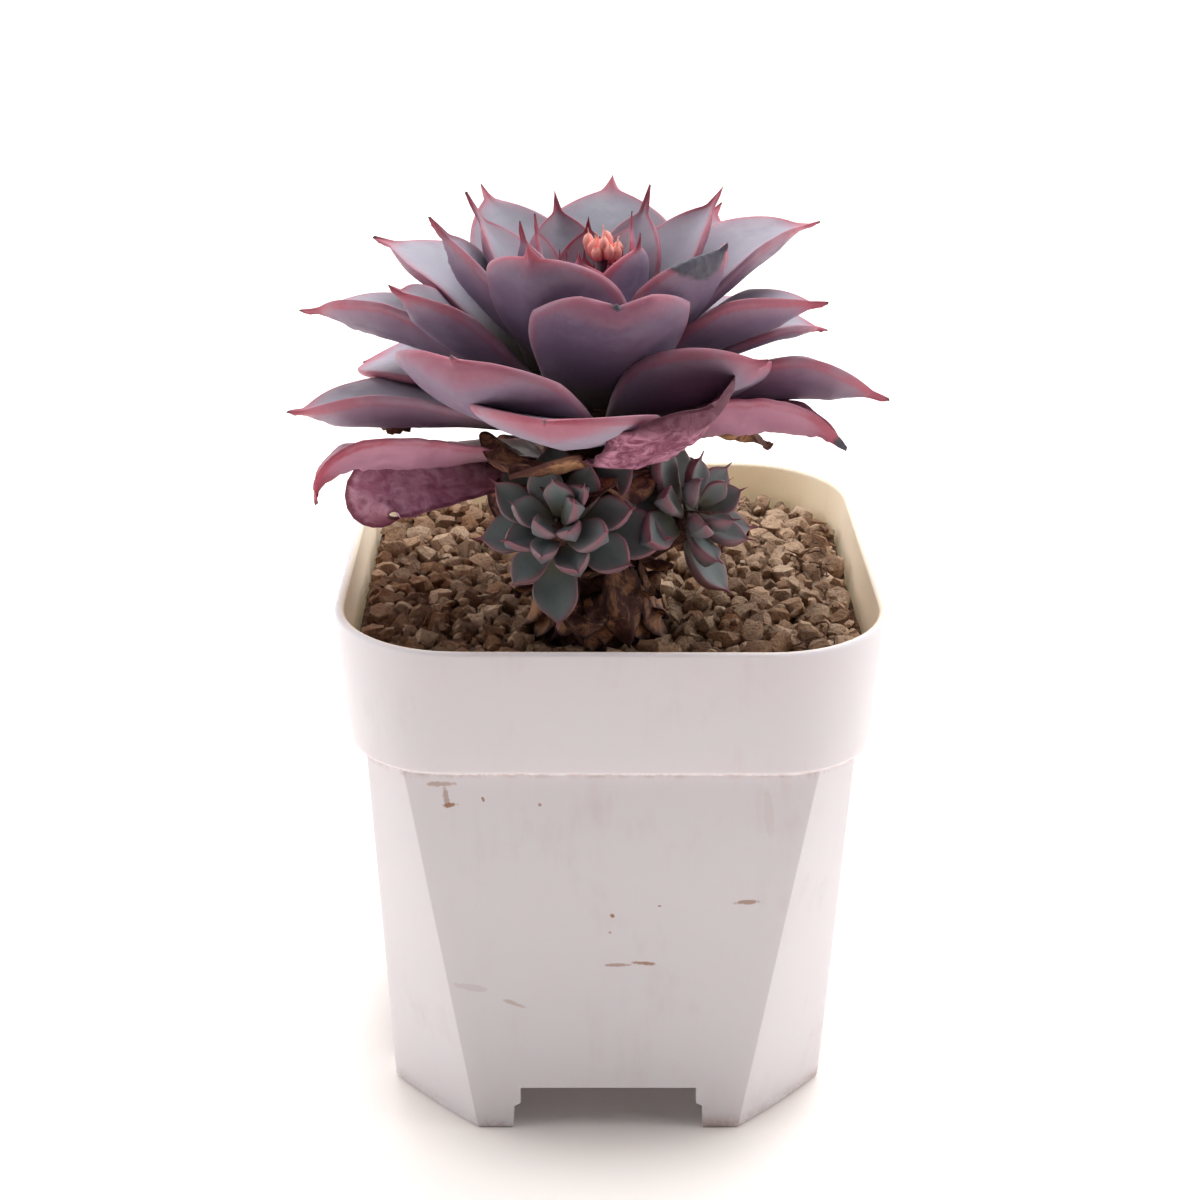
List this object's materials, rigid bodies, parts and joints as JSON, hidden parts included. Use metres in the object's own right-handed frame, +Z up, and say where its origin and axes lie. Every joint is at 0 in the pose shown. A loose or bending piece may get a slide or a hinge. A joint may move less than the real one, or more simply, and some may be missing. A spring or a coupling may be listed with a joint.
{
  "type": "potted succulent",
  "caption": "Rosette succulent with pointed mauve leaves and two small offsets, planted in grit in a square white plastic pot on four feet.",
  "frame": {"origin": "middle of the whole object's box, on the plane that the pot's feet stand on", "axes": "+Z up; -Y is the side that the larger offset faces; the pot's flat sides look along X and Y"},
  "size_m": [0.0922, 0.0876, 0.1473],
  "materials": {
    "pot_plastic": "slightly translucent, satin, with soil stains",
    "grit": "dry, rough",
    "stem_bark": "rough, papery",
    "rosette_leaf": "waxy bloom, satin, red margins",
    "offset_leaf": "waxy bloom, satin, red margins",
    "withered_leaf": "wrinkled, papery",
    "flower_bud": "waxy, satin"
  },
  "bodies": {
    "root": {"flower_buds": "flower_bud", "leaf_back_high": "rosette_leaf", "leaf_back_inner": "rosette_leaf", "leaf_back_left": "rosette_leaf", "leaf_back_low": "rosette_leaf", "leaf_back_low_left": "rosette_leaf", "leaf_back_low_right": "rosette_leaf", "leaf_back_mid": "rosette_leaf", "leaf_back_right": "rosette_leaf", "leaf_back_round_right": "rosette_leaf", "leaf_back_rounded": "rosette_leaf", "leaf_back_tall": "rosette_leaf", "leaf_core_back": "rosette_leaf", "leaf_core_far": "rosette_leaf", "leaf_core_front": "rosette_leaf", "leaf_core_left": "rosette_leaf", "leaf_core_right": "rosette_leaf", "leaf_core_spike": "rosette_leaf", "leaf_front_heart": "rosette_leaf", "leaf_front_left": "rosette_leaf", "leaf_front_right": "rosette_leaf", "leaf_front_smile": "rosette_leaf", "leaf_inner_front": "rosette_leaf", "leaf_left_back": "rosette_leaf", "leaf_left_blunt": "rosette_leaf", "leaf_left_curled": "rosette_leaf", "leaf_left_high": "rosette_leaf", "leaf_left_inner": "rosette_leaf", "leaf_left_low": "rosette_leaf", "leaf_left_mid": "rosette_leaf", "leaf_left_outer": "rosette_leaf", "leaf_right_blunt": "rosette_leaf", "leaf_right_dying": "rosette_leaf", "leaf_right_inner": "rosette_leaf", "leaf_right_long": "rosette_leaf", "leaf_right_low": "rosette_leaf", "leaf_right_outer": "rosette_leaf", "leaf_scarred": "rosette_leaf", "pebble": "grit", "pot": "pot_plastic", "pup_front_heart": "offset_leaf", "pup_front_leaf_1": "offset_leaf", "pup_front_leaf_2": "offset_leaf", "pup_front_leaf_3": "offset_leaf", "pup_front_leaf_4": "offset_leaf", "pup_front_leaf_5": "offset_leaf", "pup_front_leaf_6": "offset_leaf", "pup_right_heart": "offset_leaf", "pup_right_leaf_1": "offset_leaf", "pup_right_leaf_2": "offset_leaf", "pup_right_leaf_3": "offset_leaf", "pup_right_leaf_4": "offset_leaf", "pup_right_leaf_5": "offset_leaf", "pup_right_leaf_6": "offset_leaf", "soil": "grit", "stem": "stem_bark", "withered_front": "withered_leaf", "withered_hanging": "withered_leaf", "withered_husk": "withered_leaf", "withered_left": "withered_leaf"}
  },
  "joints": []
}
